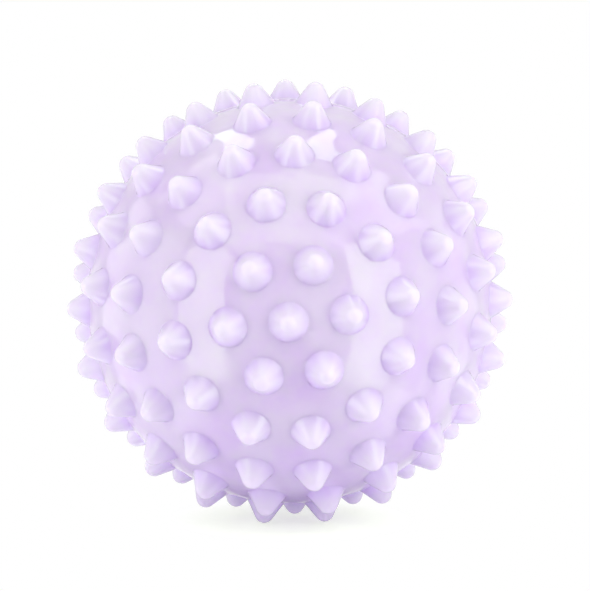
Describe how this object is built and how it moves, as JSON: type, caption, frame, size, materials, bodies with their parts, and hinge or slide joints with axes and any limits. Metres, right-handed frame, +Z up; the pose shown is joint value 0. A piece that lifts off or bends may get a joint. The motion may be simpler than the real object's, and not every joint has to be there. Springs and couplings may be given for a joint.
{
  "type": "sensory ball",
  "caption": "Hollow soft plastic ball covered in solid round-nosed spikes, with a flush air valve and a pull-out plug at its rear pole.",
  "frame": {"origin": "centre of the ball", "axes": "+Z up, -Y out of the front pole towards the viewer of the picture, +Y out of the rear pole along the valve's bore"},
  "size_m": [0.099, 0.0981, 0.099],
  "materials": {
    "skin": "soft milky lavender PVC, glossy and slightly translucent",
    "seat": "soft PVC, satin, a shade deeper than the skin",
    "plug": "firm pale plastic, satin"
  },
  "bodies": {
    "ball": {"ball_skin": "skin", "valve_seat": "seat"},
    "plug": {"valve_plug": "plug"}
  },
  "joints": [
    {"name": "plug_pull", "type": "slide", "parent": "ball", "child": "plug", "axis": [0, 1, 0], "range_m": [0, 0.016]}
  ]
}
